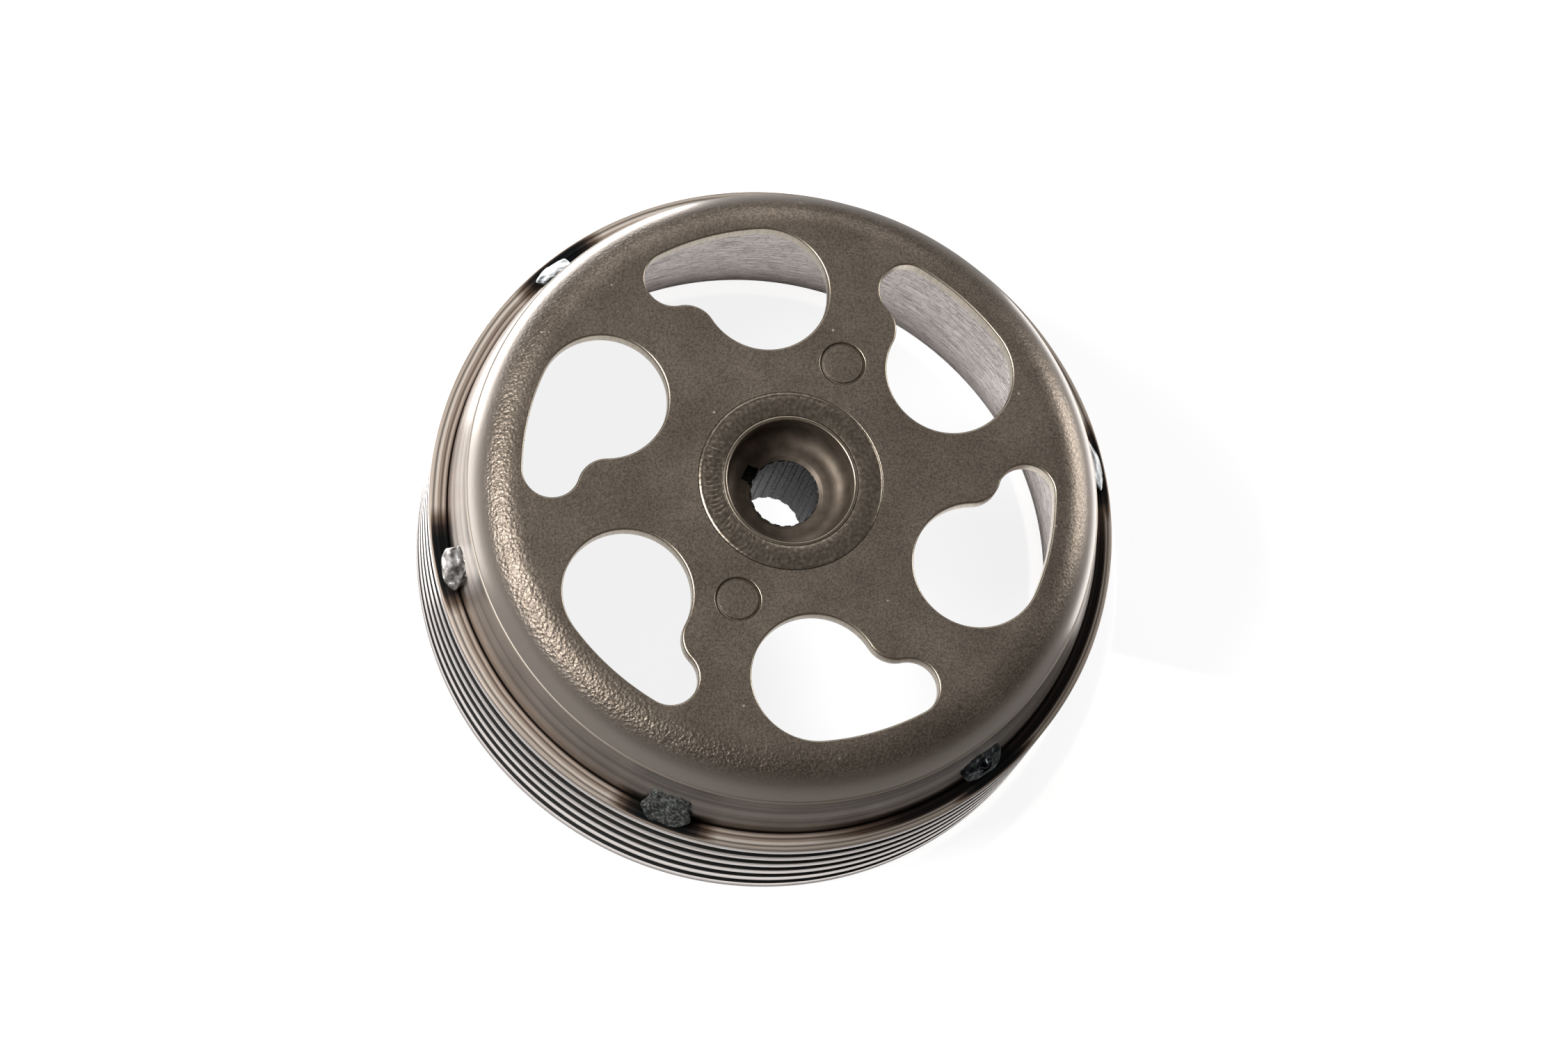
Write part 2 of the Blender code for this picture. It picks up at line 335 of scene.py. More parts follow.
def dress(tree, shader, colour, metallic, roughness, relief=None, strength=1.0, distance=1.0):
    """Give a shader its colour, metal and roughness, and a bump from a relief."""
    values = {"Base Color": colour, "Metallic": metallic, "Roughness": roughness}
    if relief is not None:
        bump = add(tree, "Bump", {"Height": relief, "Strength": strength, "Distance": distance})
        values["Normal"] = bump.outputs["Normal"]
    for key, value in values.items():
        if isinstance(value, bpy.types.NodeSocket):
            tree.links.new(value, shader.inputs[key])
        else:
            shader.inputs[key].default_value = value


# Raw pressed steel: a warm grey-brown mill skin, fine grained all over. Stretching round
# the corner has opened the grain to an orange peel that glitters, and the part of the corner
# nearest the lathe cut is rubbed smooth.
pressed_steel, tree, shader = new_material("pressed_steel")
place = add(tree, "TexCoord").outputs["Object"]
flat_place, reach = from_axis(tree, place)
on_corner = remap(tree, reach, 0.0570, 0.0620)
burnished = remap(tree, reach, 0.0638, 0.0664)
# Mottling 14 mm across, grain 0.45 mm, peel 0.8 mm, crazing 1.6 mm, and pits 7 mm apart.
mottle = fog(tree, place, 0.014, 6.0, 0.6)
grain = fog(tree, place, 0.00045, 2.0, 0.6).outputs["Fac"]
peel = add(tree, "TexVoronoi", {"Vector": place, "Scale": 1 / 0.0008}).outputs["Distance"]
bent = shift(tree, "MULTIPLY", mottle.outputs["Color"], (0.004, 0.004, 0.004))
craze = gaps(tree, shift(tree, "ADD", place, bent), 0.0016, 0.10, 0.86)
pits = add(tree, "TexVoronoi", {"Vector": place, "Scale": 1 / 0.007}).outputs["Distance"]
pit = remap(tree, pits, 0.045, 0.030)
tone = ramp(tree, mottle.outputs["Fac"], [(0.30, "#6f6459"), (0.52, "#7b7065"), (0.72, "#887c70")])
speck_low = remap(tree, on_corner, 0.0, 1.0, 0.34, 0.42)
speck = remap(tree, grain, speck_low, 0.62, 0.62, 1.12)
lifted = maths(tree, "MULTIPLY", speck, remap(tree, on_corner, 0.0, 1.0, 1.0, 1.18))
shade = maths(tree, "MULTIPLY", lifted, craze)
skin = blend(tree, 1.0, tone, shade, "MULTIPLY")
pitted = blend(tree, pit, skin, linear("#c4b8a8"))
rubbed = blend(tree, burnished, pitted, linear("#8f867e"))
# The peel is open on one side of the bell, round 205 degrees, and closes up on the other.
sideways = add(tree, "VectorMath", {0: flat_place}, operation="NORMALIZE").outputs[0]
facing = add(tree, "VectorMath", {0: sideways, 1: polar(1.0, math.radians(205))},
             operation="DOT_PRODUCT").outputs["Value"]
open_side = remap(tree, facing, -0.5, 0.5, 0.25, 1.0)
peel_height = remap(tree, on_corner, 0.0, 1.0, 0.00004, 0.00013)
smoothed = remap(tree, burnished, 0.0, 1.0, 1.0, 0.08)
relief = maths(tree, "MULTIPLY", maths(tree, "MULTIPLY", peel_height, open_side), smoothed)
dress(tree, shader, rubbed, 0.75, remap(tree, on_corner, 0.0, 1.0, 0.55, 0.36),
      maths(tree, "ADD", peel, grain), 1.0, relief)

# Turned steel: a smooth grey cut surface with lathe lines running round it.
turned_wall, tree, shader = new_material("turned_wall")
place = add(tree, "TexCoord").outputs["Object"]
# Tool marks 0.25 mm apart up the wall and 60 mm long round it; coarser rings 1.1 mm apart
# and 150 mm long, where the tool dwelt.
marks = fog(tree, stretch(tree, place, (0.06, 0.06, 0.00025)), 1.0, 3.0).outputs["Fac"]
dwell = fog(tree, stretch(tree, place, (0.15, 0.15, 0.0011)), 1.0, 2.0).outputs["Fac"]
patches = fog(tree, place, 0.012, 3.0).outputs["Fac"]
tone = ramp(tree, patches, [(0.30, "#7c736c"), (0.70, "#8d847d")])
lined = blend(tree, 1.0, tone, remap(tree, dwell, 0.35, 0.65, 0.66, 1.22), "MULTIPLY")
dress(tree, shader, lined, 1.0, remap(tree, marks, 0.0, 1.0, 0.22, 0.40), marks, 1.0, 0.00005)

# Friction wall: turned like the outside, paler, and finely torn by the tool.
friction_wall, tree, shader = new_material("friction_wall")
place = add(tree, "TexCoord").outputs["Object"]
# Tears 6 mm long and 0.5 mm high; flakes 2.6 mm long and 1.1 mm high, bent by the tears.
tears = fog(tree, stretch(tree, place, (0.006, 0.006, 0.0005)), 1.0, 4.0, 0.65)
bent = shift(tree, "MULTIPLY", tears.outputs["Color"], (0.0012, 0.0012, 0.0006))
flake_place = stretch(tree, shift(tree, "ADD", place, bent), (0.0026, 0.0026, 0.0011))
crack = gaps(tree, flake_place, 1.0, 0.09)
tone = ramp(tree, tears.outputs["Fac"], [(0.32, "#8f8683"), (0.50, "#c6bcb9"), (0.68, "#e4dcd9")])
torn = blend(tree, 1.0, tone, remap(tree, crack, 0.0, 1.0, 0.62, 1.0), "MULTIPLY")
dress(tree, shader, torn, 0.85, 0.45, maths(tree, "ADD", tears.outputs["Fac"], crack), 1.0, 0.00010)

# Sheared steel: the punched edges of the windows, bright where the punch has slid. On the hub's
# pocket lip the same bright steel is a painted highlight.
sheared_edge, tree, shader = new_material("sheared_edge")
place = add(tree, "TexCoord").outputs["Object"]
# Streaks 0.4 mm wide and 4 mm long through the web's thickness.
streaks = fog(tree, stretch(tree, place, (0.0004, 0.0004, 0.004)), 1.0, 2.0).outputs["Fac"]
tone = ramp(tree, streaks, [(0.35, "#9c9183"), (0.65, "#b0a595")])
dress(tree, shader, tone, 1.0, 0.36, streaks, 0.2, 0.00001)

# The ridge left by the lathe has its crest coloured bright, a painted highlight line along it.
ridge_highlight_paint, tree, shader = new_material("ridge_highlight_paint")
dress(tree, shader, linear("#b4aa9f"), 1.0, 0.5)

for material in (pressed_steel, turned_wall, friction_wall, sheared_edge, ridge_highlight_paint):
    shell.data.materials.append(material)
turned_face, torn_face, sheared_face, ridge_highlight_face = 1, 2, 3, 4
bored_reach, bored_top = friction_radius - 0.0021, 0.0445
ridge_foot = ridge_height - 0.00056
punched_reach = window_outer_radius + front_roll
for face in shell.data.polygons:
    spot = face.center
    reach_out = math.hypot(spot.x, spot.y)
    if reach_out > bored_reach and spot.z < bored_top and face.normal.dot(spot) < 0:
        face.material_index = torn_face
    elif spot.z < ridge_foot and reach_out > ridge_radius - 0.0002:
        face.material_index = turned_face
    # The ridge's crest takes the painted highlight.
    elif spot.z > ridge_foot and reach_out > ridge_radius + 0.00001:
        face.material_index = ridge_highlight_face
    elif abs(face.normal.z) < 0.96 and reach_out < punched_reach and spot.z > depth - web - 0.0001:
        face.material_index = sheared_face
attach(shell, "root")
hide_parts("drum_shell")


# Locating plugs. Two steel discs pressed into the tooling holes and dressed flush; each
# shows as a disc with a shallow groove round it.
plug_groove_width, plug_groove_depth = 0.00062, 0.00055
for i, spot in enumerate(plug_spots):
    bpy.ops.object.select_all(action="DESELECT")
    disc_middle = depth - (web + plug_groove_depth) / 2
    bpy.ops.mesh.primitive_cylinder_add(vertices=64, radius=plug_hole_radius,
                                        depth=web - plug_groove_depth,
                                        location=(spot.x, spot.y, disc_middle))
    plug = bpy.context.object
    plug.name = f"locating_plug_disc_{i + 1}"
    bpy.ops.object.transform_apply(location=True, rotation=True, scale=True)
    bpy.ops.object.mode_set(mode="EDIT")
    bpy.ops.mesh.select_mode(type="FACE")
    bpy.ops.mesh.select_all(action="DESELECT")
    bpy.ops.object.mode_set(mode="OBJECT")
    for face in plug.data.polygons:
        face.select = face.normal.z > 0.9
    bpy.ops.object.mode_set(mode="EDIT")
    bpy.ops.mesh.inset(thickness=plug_groove_width)
    rise_up = {"value": (0.0, 0.0, plug_groove_depth)}
    bpy.ops.mesh.extrude_region_move(TRANSFORM_OT_translate=rise_up)
    bpy.ops.object.mode_set(mode="OBJECT")
    bevel = plug.modifiers.new("Rounded rim", "BEVEL")
    bevel.width = 0.00020
    bevel.segments = 4
    bevel.limit_method = "ANGLE"
    bpy.ops.object.modifier_apply(modifier=bevel.name)
    bpy.ops.object.shade_smooth_by_angle(angle=math.radians(35))
    plug.data.materials.append(pressed_steel)
    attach(plug, "root")
    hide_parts(f"locating_plug_{i + 1}")


# Cooling ring. Turned from one thick steel tube: six square fins with deep grooves between
# them, a faced front edge, shrunk on the drum until it stands just short of the mouth.
ring_low, ring_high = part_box("cooling_ring")
ring_radius = ring_high.x
ring_top, ring_bottom = ring_high.z, ring_low.z
fin_count, fin_pitch, fin_land, fin_depth, fin_edge = 6, 0.0061, 0.0030, 0.0027, 0.00022
ring_bore = drum_radius + 0.00006
face_step = 0.0732

ring_profile = [(ring_bore, ring_top - 0.0003), (ring_bore + 0.0003, ring_top),
                (face_step - 0.00012, ring_top), (face_step, ring_top - 0.00016),
                (face_step + 0.00012, ring_top), (ring_radius - 0.0005, ring_top)]
root, root_fillet = ring_radius - fin_depth, 0.0003
for k in range(fin_count):
    land_top = ring_top - fin_pitch * k
    land_bottom = land_top - fin_land if k < fin_count - 1 else ring_bottom
    edge = 0.0004 if k == 0 else fin_edge
    ring_profile += [(ring_radius - edge, land_top - 0.00002),
                     (ring_radius - edge * 0.3, land_top - edge * 0.3),
                     (ring_radius, land_top - edge),
                     (ring_radius, land_bottom + fin_edge),
                     (ring_radius - fin_edge * 0.3, land_bottom + fin_edge * 0.3),
                     (ring_radius - fin_edge, land_bottom)]
    if k < fin_count - 1:
        next_top = land_top - fin_pitch
        ring_profile += [(root + root_fillet, land_bottom), (root, land_bottom - root_fillet),
                         (root, next_top + root_fillet), (root + root_fillet, next_top)]
ring_profile.append((ring_bore, ring_bottom))
ring = turn("cooling_ring_turned", ring_profile, 288)
ring.data.shade_smooth()
ring.data.set_sharp_from_angle(angle=math.radians(40))

weld_phase = math.radians(10.9)
weld_count = 6


def angle_round(tree, place):
    """The angle round the bell's axis, in radians."""
    parts = add(tree, "SeparateXYZ", {0: place})
    return maths(tree, "ARCTAN2", parts.outputs["Y"], parts.outputs["X"])


def nearness_to_weld(tree, angle, half_width, fade):
    """1 at a ring weld and 0 between them, from the angle round the axis."""
    period = 2 * math.pi / weld_count
    folded = maths(tree, "PINGPONG", maths(tree, "SUBTRACT", angle, weld_phase), period / 2)
    return remap(tree, folded, half_width + fade, half_width)


# Turned ring steel: bright lands; the front face took straw bands from the welding, and
# turned brown and then blue-black beside each bead.
turned_ring, tree, shader = new_material("turned_ring")
place = add(tree, "TexCoord").outputs["Object"]
# Tool marks 0.3 mm apart and 30 mm long; the straw bands wander over 25 mm.
marks = fog(tree, stretch(tree, place, (0.03, 0.03, 0.0003)), 1.0, 3.0).outputs["Fac"]
land_tone = ramp(tree, marks, [(0.30, "#c2bab6"), (0.70, "#ddd6d2")])
reach = from_axis(tree, place)[1]
height = add(tree, "SeparateXYZ", {0: place}).outputs["Z"]
on_front = remap(tree, height, ring_top - 0.0008, ring_top - 0.0003)
wander = remap(tree, fog(tree, place, 0.025, 3.0).outputs["Fac"], 0.0, 1.0, -0.08, 0.08)
across = maths(tree, "ADD", remap(tree, reach, ring_bore, ring_radius), wander)
straw = ramp(tree, across, [(0.02, "#2a211c"), (0.10, "#97867a"), (0.22, "#e0cfc1"),
                            (0.33, "#6a5a50"), (0.46, "#c0b1a4"), (0.62, "#efe5da"),
                            (0.74, "#6c5e54"), (0.84, "#cfc3b7"), (0.98, "#8c7f74")])
angle = angle_round(tree, place)
near = nearness_to_weld(tree, angle, 0.07, 0.10)
near_tint = maths(tree, "MULTIPLY", near, remap(tree, reach, 0.0751, 0.0747))
# The inner half of the front face is darkened over a sector centred at -35 degrees, between two
# beads.
away = maths(tree, "ABSOLUTE", maths(tree, "ADD", angle, math.radians(35)))
dark_sector = remap(tree, away, 0.85, 0.50, 0.0, 0.80)
dark_sector_tint = maths(tree, "MULTIPLY", dark_sector, remap(tree, reach, 0.0740, 0.0736))
tinted = maths(tree, "MAXIMUM", near_tint, dark_sector_tint)
heat_and_dark_sector = ramp(tree, tinted, [(0.0, "#ffffff"), (0.35, "#9a8d82"), (0.65, "#453f40"),
                           (1.0, "#1b2124")])
colour = blend(tree, on_front, land_tone, blend(tree, 1.0, straw, heat_and_dark_sector, "MULTIPLY"))
dress(tree, shader, colour, remap(tree, on_front, 0.0, 1.0, 1.0, 0.78),
      remap(tree, on_front, 0.0, 1.0, 0.36, 0.55), marks, 0.4, 0.00002)

# Groove steel: the cut floor and flanks are near-black, painted shade standing for the deep grooves
# between the fins.
groove_painted_shade, tree, shader = new_material("groove_painted_shade")
place = add(tree, "TexCoord").outputs["Object"]
# Dust in patches 4 mm across.
dust = fog(tree, place, 0.004, 4.0).outputs["Fac"]
dress(tree, shader, ramp(tree, dust, [(0.35, "#0d0c0b"), (0.70, "#1d1b19")]), 0.2, 0.7)

ring.data.materials.append(turned_ring)
ring.data.materials.append(groove_painted_shade)
# The faces inside the grooves take the near-black painted shade.
for face in ring.data.polygons:
    spot = face.center
    reach_out = math.hypot(spot.x, spot.y)
    in_groove = ring_bottom + 0.001 < spot.z < ring_top - fin_land + 0.0002
    if in_groove and drum_radius + 0.0005 < reach_out < ring_radius - 0.00008:
        face.material_index = 1
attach(ring, "root")
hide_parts("cooling_ring")


# Hub. A turned steel sleeve: a flange behind the web, a nut pocket with a radiused floor in
# front, and a broached spline right through, with one keying notch at its mouth.
hub_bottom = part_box("hub")[0].z
pocket_radius, pocket_floor = 0.01364, depth - 0.00845
spline_tip, spline_root, spline_count = 0.0072, 0.0074, 20
rim_radius = 0.0146
pocket_fillet, mouth_radius = 0.0036, 0.0082
pocket_lip = 0.00045
barrel_radius, flange_radius, collar_radius = 0.0120, 0.0190, 0.0165
web_back = depth - web - 0.0002
hub_profile = [(rim_radius, depth - 0.0012), (rim_radius, depth - 0.00030),
               (rim_radius - 0.00009, depth - 0.00009), (rim_radius - 0.00030, depth)]
for i in range(7):
    sweep = math.pi / 2 * i / 6
    hub_profile.append((pocket_radius + pocket_lip * (1 - math.sin(sweep)),
                        depth - pocket_lip * (1 - math.cos(sweep))))
for i in range(13):
    sweep = math.pi / 2 * i / 12
    hub_profile.append((pocket_radius - pocket_fillet * (1 - math.cos(sweep)),
                        pocket_floor + pocket_fillet * (1 - math.sin(sweep))))
hub_profile += [(mouth_radius + 0.0002, pocket_floor), (mouth_radius, pocket_floor - 0.0001),
                (spline_root + 0.0001, pocket_floor - 0.0007),
                (spline_tip - 0.0003, pocket_floor - 0.0010),
                (spline_tip - 0.0003, hub_bottom + 0.0010),
                (spline_root + 0.0001, hub_bottom + 0.0007), (mouth_radius, hub_bottom),
                (barrel_radius - 0.0008, hub_bottom), (barrel_radius, hub_bottom + 0.0008),
                (barrel_radius, pocket_floor - 0.0060), (flange_radius, pocket_floor - 0.0020),
                (flange_radius, web_back - 0.0003), (flange_radius - 0.0002, web_back),
                (collar_radius, web_back), (collar_radius, depth - 0.0025)]
hub_profile.reverse()
hub = turn("hub_turned", hub_profile, 240)

spline_loop = []
for i in range(spline_count):
    for share, radius in ((0.06, spline_tip), (0.30, spline_tip), (0.54, spline_tip),
                          (0.64, spline_root), (0.80, spline_root), (0.96, spline_root)):
        spline_loop.append(polar(radius, 2 * math.pi * (i + share) / spline_count))
bottom_loop = [point + Vector((0, 0, hub_bottom - 0.002)) for point in spline_loop]
top_loop = [point + Vector((0, 0, pocket_floor + 0.002)) for point in spline_loop]
broach = loft("broach", [top_loop, bottom_loop])
bpy.ops.object.mode_set(mode="EDIT")
bpy.ops.mesh.select_all(action="SELECT")
bpy.ops.mesh.fill_holes(sides=0)
bpy.ops.mesh.normals_make_consistent(inside=False)
bpy.ops.object.mode_set(mode="OBJECT")
notch_angle = math.radians(154)
bpy.ops.object.select_all(action="DESELECT")
bpy.ops.mesh.primitive_cube_add(size=1.0)
notch = bpy.context.object
notch.matrix_world = (Matrix.Translation(polar(mouth_radius, notch_angle, pocket_floor))
                      @ Matrix.Rotation(notch_angle, 4, "Z")
                      @ Matrix.Diagonal((0.0032, 0.0036, 0.0030, 1.0)))
for cutter in (broach, notch):
    boolean = hub.modifiers.new("Cut", "BOOLEAN")
    boolean.object = cutter
    bpy.context.view_layer.objects.active = hub
    bpy.ops.object.modifier_apply(modifier=boolean.name)
    bpy.data.objects.remove(cutter, do_unlink=True)
hub.data.shade_smooth()
hub.data.set_sharp_from_angle(angle=math.radians(32))

# Turned hub steel: brown-grey and satin, with rings from the facing tool.
hub_steel, tree, shader = new_material("hub_steel")
place = add(tree, "TexCoord").outputs["Object"]
# Facing rings 0.45 mm apart, and patches 3 mm across.
reach = from_axis(tree, place)[1]
rings = add(tree, "TexNoise", {"W": reach, "Scale": 1 / 0.00045, "Detail": 2.0},
            noise_dimensions="1D").outputs["Fac"]
patches = fog(tree, place, 0.003, 4.0).outputs["Fac"]
tone = ramp(tree, patches, [(0.30, "#5a5046"), (0.70, "#74695e")])
dress(tree, shader, tone, 0.80, 0.56, rings, 0.8, 0.00002)

# Bore steel: broached, and dark: oil in patches 2 mm across, with painted shade for the deep bore;
# on the keying notch the darkness is painted shade. Its skin is crazed into small blocks 1.3 mm
# across.
bore_steel, tree, shader = new_material("bore_steel")
place = add(tree, "TexCoord").outputs["Object"]
crack = gaps(tree, place, 0.0013, 0.12)
oil = fog(tree, place, 0.002, 4.0).outputs["Fac"]
tone = ramp(tree, oil, [(0.30, "#272526"), (0.70, "#3d3a3b")])
crazed = blend(tree, 1.0, tone, remap(tree, crack, 0.0, 1.0, 0.20, 1.0), "MULTIPLY")
dress(tree, shader, crazed, 0.8, 0.55, crack, 0.8, 0.00008)

for material in (hub_steel, bore_steel, sheared_edge):
    hub.data.materials.append(material)
bore_and_notch_dark_face, lip_highlight_face = 1, 2
notch_reach, notch_depth, notch_spread = 0.0100, 0.0016, 0.28
for face in hub.data.polygons:
    spot = face.center
    reach_out = math.hypot(spot.x, spot.y)
    below_floor = pocket_floor - notch_depth < spot.z < pocket_floor - 0.00005
    off_notch = abs(math.atan2(spot.y, spot.x) - notch_angle)
    in_bore = reach_out < spline_root + 0.0001 and spot.z < pocket_floor - 0.0007
    # The bore and the keying notch take the dark steel, painted shade in both.
    if in_bore or below_floor and reach_out < notch_reach and off_notch < notch_spread:
        face.material_index = bore_and_notch_dark_face
    # The pocket's lip and rim edge take the bright sheared steel: polished, with its brighter
    # colour a painted highlight.
    elif spot.z > depth - pocket_lip and abs(face.normal.z) < 0.98:
        face.material_index = lip_highlight_face
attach(hub, "root")
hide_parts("hub")


# Hub weld. A single run of weld laid round the joint of hub and web, then left as it froze:
# about a hundred small crescent ripples, each lapped over the one before.
bead_inner, bead_outer, bead_rise = 0.01468, 0.0198, 0.00034
bead_profile = []
for i in range(25):
    share = i / 24
    bead_profile.append((bead_outer + (bead_inner - bead_outer) * share,
                         depth + bead_rise * math.sin(math.pi * share) ** 0.8))
bead_profile += [(bead_inner, depth - 0.0008), (0.0170, depth - 0.0020), (0.0181, depth - 0.0020),
                 (0.0197, depth - 0.0005)]
bead_profile.reverse()
bead = turn("hub_weld_bead", bead_profile, 900)
ripple_count, hot_angle = 104, math.radians(198)
for vertex in bead.data.vertices:
    x, y, z = vertex.co
    reach_out = math.hypot(x, y)
    share = (reach_out - bead_inner) / (bead_outer - bead_inner)
    if z < depth - 0.0001 or not 0.02 < share < 0.98:
        continue
    bow = 1.1 * (2 * share - 1) ** 2
    wander = noise.noise(Vector((x, y, 0)) * 300) * 0.6
    phase = (math.atan2(y, x) / (2 * math.pi) * ripple_count + bow + wander) % 1.0
    scallop = phase ** 0.5 * (1 - phase) ** 0.8 * 1.7
    lump = noise.noise(Vector((x, y, 0.01)) * 1100)
    # The ripples stand up on the side where the run was laid hottest, and lie flat elsewhere.
    heat_side = 0.5 + 0.5 * math.cos(math.atan2(y, x) - hot_angle)
    height = 0.00004 + 0.00013 * heat_side ** 4
    edge_line = 0.00010 * math.exp(-((share - 0.92) / 0.035) ** 2)
    rough_lump = (0.00004 + 0.00006 * heat_side ** 3) * lump
    vertex.co.z += (height * scallop + rough_lump) * math.sin(math.pi * share) ** 0.5 + edge_line
bead.data.shade_smooth()
bead.data.set_sharp_from_angle(angle=math.radians(60))

# Weld metal: frozen steel, glassy and dark silver under a skin of scale in 1.6 mm patches.
weld_metal, tree, shader = new_material("weld_metal")
place = add(tree, "TexCoord").outputs["Object"]
scale_skin = fog(tree, place, 0.0016, 4.0, 0.6).outputs["Fac"]
tone = ramp(tree, scale_skin, [(0.34, "#4a443f"), (0.50, "#7d7977"), (0.66, "#b4b3b0")])
dress(tree, shader, tone, 1.0, remap(tree, scale_skin, 0.3, 0.7, 0.30, 0.16), scale_skin, 0.3,
      0.00003)


def plain_weld(name, size, detail, colours, metallic, roughness, strength, distance):
    """A weld skin with one noise of this patch size for both its colour and its bump."""
    material, tree, shader = new_material(name)
    place = add(tree, "TexCoord").outputs["Object"]
    patches = fog(tree, place, size, detail).outputs["Fac"]
    dress(tree, shader, ramp(tree, patches, colours), metallic, roughness, patches, strength,
          distance)
    return material


# One ring weld is dull, with grey slag still on it. The hotter beads froze nearly black and
# glassy, and show only sharp glints. The hub's bead is browner, sooted like the web round it.
# The skins vary over patches 0.7 mm, 1.2 mm and 0.8 mm across.
crazed_weld = plain_weld("crazed_weld", 0.0007, 4.0,
                         [(0.35, "#323433"), (0.50, "#555856"), (0.65, "#868885")],
                         0.8, 0.48, 0.4, 0.00003)
blued_weld = plain_weld("blued_weld", 0.0012, 3.0,
                        [(0.36, "#101214"), (0.54, "#25292b"), (0.72, "#6a7072")],
                        1.0, 0.22, 0.7, 0.00006)
bead_metal = plain_weld("bead_metal", 0.0008, 3.0,
                        [(0.32, "#70665b"), (0.50, "#82776b"), (0.66, "#988d80")],
                        0.85, 0.32, 0.7, 0.00005)
bead.data.materials.append(bead_metal)
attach(bead, "root")
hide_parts("hub_weld")


# Ring welds. Six short blobs of weld in the corner between the wall and the ring's front
# face, laid by hand. Most froze blue-black and glassy, one bright, one dull and crazed,
# one with a drop standing in its crater.
weld_centre = Vector((0.0716, 0.0, 0.0392))
uneven, root_depth = 0.18, 0.0019
# (degrees round the ring, half width along it, reach up the slope, height, lift up the wall,
# finish)
welds = ((10.9, 0.0055, 0.0050, 0.0007, 0.0, "blued"),
         (70.9, 0.0055, 0.0050, 0.0007, 0.0, "blued"),
         (133.5, 0.0040, 0.0050, 0.0008, 0.0, "blued"),
         (193.2, 0.0045, 0.0048, 0.0009, 0.0, "glassy"),
         (250.9, 0.0051, 0.0048, 0.0006, 0.0, "crazed"),
         (308.7, 0.0054, 0.0050, 0.0008, 0.0022, "drop"))
finishes = {"glassy": weld_metal, "crazed": crazed_weld, "blued": blued_weld, "drop": blued_weld}
for k, (degrees, half_width, half_reach, rise, lift, finish) in enumerate(welds):
    bpy.ops.object.select_all(action="DESELECT")
    bpy.ops.mesh.primitive_cube_add(size=2.0)
    blob = bpy.context.object
    blob.name = f"ring_weld_blob_{k + 1}"
    bpy.ops.object.mode_set(mode="EDIT")
    bpy.ops.mesh.select_all(action="SELECT")
    bpy.ops.mesh.subdivide(number_cuts=47)
    bpy.ops.object.mode_set(mode="OBJECT")
    seed = Vector((11.0 * k, 5.0 * k, 0.0))
    squareness = 3.4 if finish == "crazed" else 2.4
    slope = Matrix.Rotation(math.radians(59), 3, "Y")
    swing = Matrix.Rotation(math.radians(degrees), 3, "Z")
    for vertex in blob.data.vertices:
        # u runs along the joint, v down the slope of the fillet, w out of it.
        u, v, w = vertex.co
        square = max(abs(u), abs(v), abs(w)) or 1.0
        total = abs(u) ** squareness + abs(v) ** squareness + abs(w) ** 2.4
        round_length = total ** (1 / squareness) or 1.0
        u, v, w = (c * square / round_length for c in (u, v, w))
        reach_u = half_width * (1 + uneven * noise.noise(Vector((v * 1.5, w, 3.0)) + seed))
        reach_v = half_reach * (1 + uneven * noise.noise(Vector((u * 1.5, w, 7.0)) + seed))
        spot = Vector((v * reach_v, u * reach_u, w * (rise if w > 0 else root_depth)))
        if w > 0:
            lump = noise.noise(Vector((u, v, 0)) * 1.4 + seed) * 0.0004
            fold = (u * 1.5 + 0.7 * v * v + 0.4 * noise.noise(Vector((u, v, 1)) + seed)) % 1.0
            ripple = fold ** 0.6 * (1 - fold) * 0.00014
            if finish == "crazed":
                flake = Vector((u * 2.4 + v * 0.8, v * 5.5 - u * 1.6, 0)) + seed
                near, next_near = noise.voronoi(flake)[0][:2]
                ripple += 0.00034 * min(1.0, (next_near - near) * 1.6)
            if finish == "drop":
                away = math.hypot((u - 0.05) * half_width, (v - 0.25) * half_reach)
                ripple += (0.0009 * math.exp(-(away / 0.0009) ** 2)
                           - 0.0004 * math.exp(-((away - 0.0014) / 0.0003) ** 2)
                           + 0.0002 * math.exp(-((away - 0.0019) / 0.0003) ** 2))
            spot.z += (ripple + lump) * min(1.0, w * 2)
        spot.x -= lift
        vertex.co = swing @ (slope @ spot + weld_centre)
    blob.data.shade_smooth()
    blob.data.materials.append(finishes[finish])
    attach(blob, "root")
    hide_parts(f"ring_weld_{k + 1}")


# Stage. A pale table with soft lights at both sides and behind, and low glowing pads on it
# that light the bell from underneath. The camera looks down on the web from low on its left.
bpy.ops.object.select_all(action="DESELECT")
bpy.ops.mesh.primitive_plane_add(size=6.0, location=(0.0, 0.0, -0.0002))
floor = bpy.context.object
floor.name = "floor"
floor_paint, tree, shader = new_material("floor_paint")
seen = add(tree, "LightPath").outputs["Is Camera Ray"]
dress(tree, shader, linear("#b8b8b8"), 0.0, 0.9)
shader.inputs["Emission Color"].default_value = linear("#ffffff")
tree.links.new(remap(tree, seen, 0.0, 1.0, 0.02, 0.87), shader.inputs["Emission Strength"])
floor.data.materials.append(floor_paint)

world = bpy.data.worlds.new("studio")
bpy.context.scene.world = world
world.use_nodes = True
world.node_tree.nodes["Background"].inputs["Color"].default_value = linear("#9a958f")
world.node_tree.nodes["Background"].inputs["Strength"].default_value = 0.35


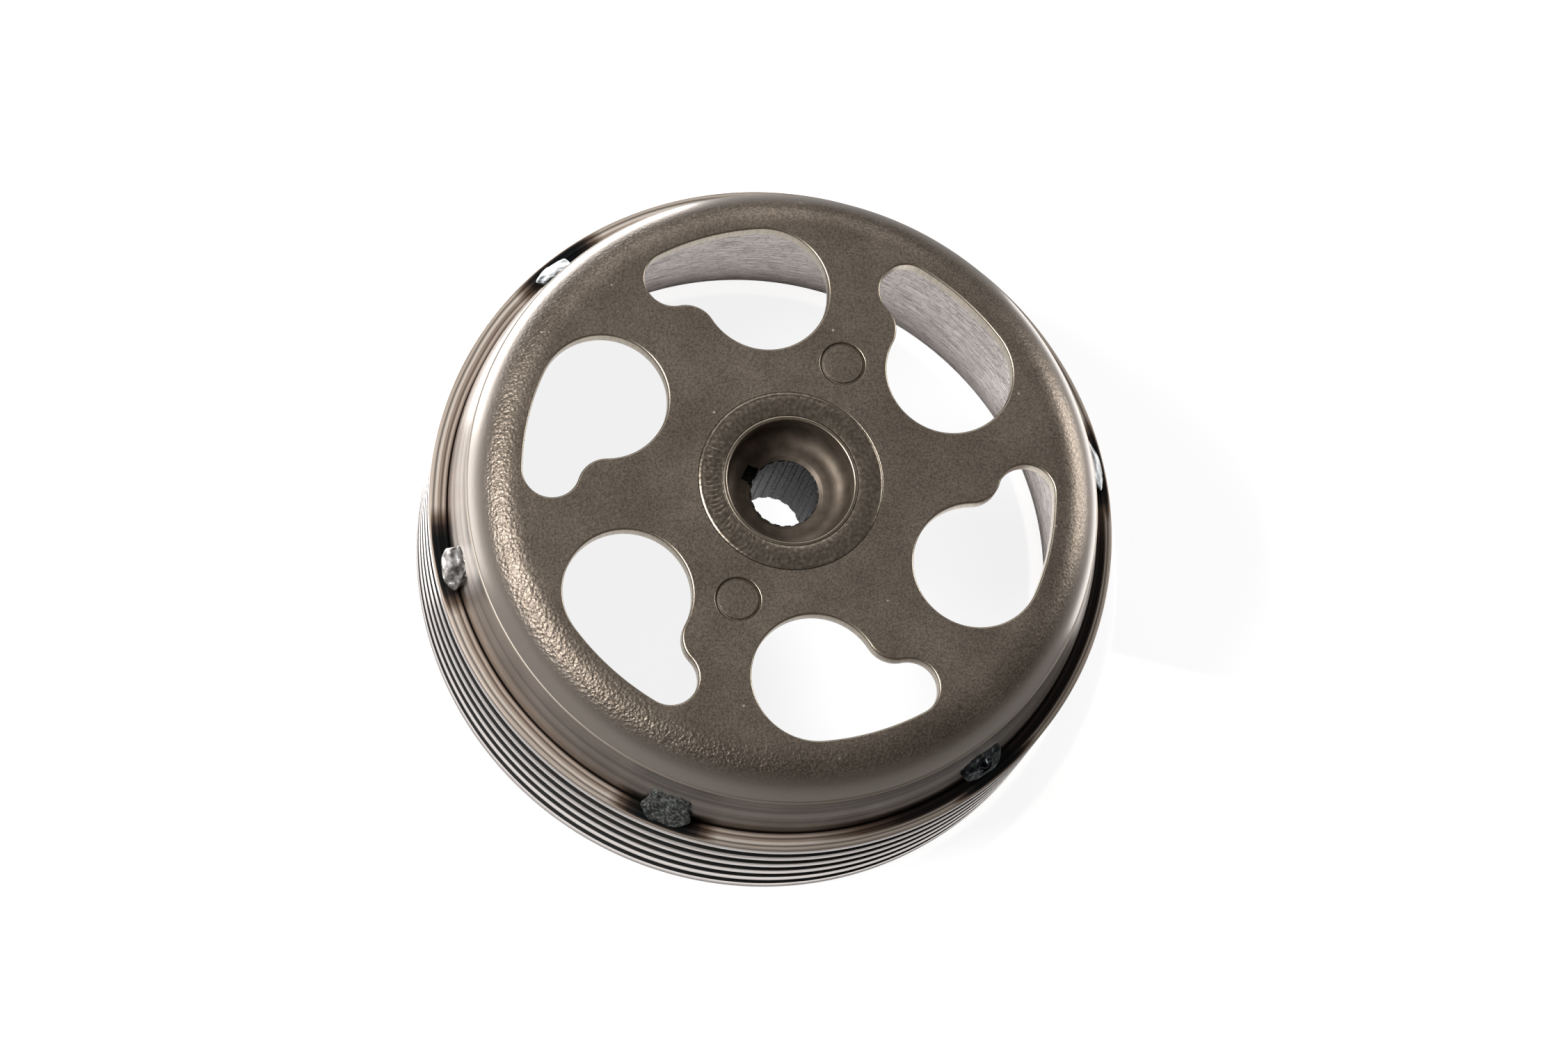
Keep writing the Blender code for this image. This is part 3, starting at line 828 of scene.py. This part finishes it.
def light_pad(name, inner, outer, start, end, strength):
    """A flat glowing sector on the table, in degrees round the bell. The camera misses it."""
    steps = 48
    swings = [math.radians(start + (end - start) * i / steps) for i in range(steps + 1)]
    points = [polar(radius, swing, 0.0002) for swing in swings for radius in (inner, outer)]
    faces = [(2 * i, 2 * i + 1, 2 * i + 3, 2 * i + 2) for i in range(steps)]
    pad = new_piece(name, points, faces=faces)
    glow_material, tree, shader = new_material(name)
    shader.inputs["Base Color"].default_value = linear("#000000")
    shader.inputs["Emission Color"].default_value = linear("#ffffff")
    rear = add(tree, "NewGeometry").outputs["Backfacing"]
    tree.links.new(remap(tree, rear, 0.0, 1.0, strength, 0.0), shader.inputs["Emission Strength"])
    pad.data.materials.append(glow_material)
    pad.visible_camera = False
    pad.visible_shadow = False


light_pad("mouth_pad", 0.001, 0.064, 42, 325, 1.0)
light_pad("mouth_right_pad", 0.001, 0.064, -35, 42, 1.7)
light_pad("foot_pad", 0.077, 0.0835, 0, 360, 1.3)
light_pad("left_pad", 0.0840, 0.190, 158, 190, 3.2)
light_pad("upper_left_pad", 0.0840, 0.190, 100, 158, 8.0)
light_pad("right_pad", 0.0840, 0.150, -12, 48, 3.2)


bell_middle = Vector((0.0, 0.0, 0.03))


def softbox(name, spot, width, height, watts):
    """An area light at a spot, turned to face the bell."""
    light = bpy.data.lights.new(name, "AREA")
    light.shape = "RECTANGLE"
    light.size, light.size_y = width, height
    light.energy = watts
    lamp = bpy.data.objects.new(name, light)
    bpy.context.scene.collection.objects.link(lamp)
    lamp.location = spot
    lamp.rotation_euler = (bell_middle - Vector(spot)).to_track_quat("-Z", "Y").to_euler()


softbox("left_softbox", (-0.71, -0.06, 0.69), 0.62, 0.25, 11)
softbox("right_softbox", (0.75, 0.30, 0.22), 0.4, 0.4, 3.4)
softbox("back_softbox", (-0.10, 0.80, 0.55), 0.9, 0.5, 2.0)

camera = bpy.data.cameras.new("camera")
camera.lens = 110.65
camera.sensor_width = 36.0
viewer = bpy.data.objects.new("camera", camera)
bpy.context.scene.collection.objects.link(viewer)
right = Vector((0.98855, 0.0, 0.15087))
back = Vector((-0.14393, -0.29992, 0.94304))
up = back.cross(right)
turned_to = Matrix((right, up, back)).transposed().to_4x4()
viewer.matrix_world = Matrix.Translation((-0.1489, -0.3164, depth + 0.9658)) @ turned_to
bpy.context.scene.camera = viewer
bpy.context.scene.view_settings.view_transform = "Standard"
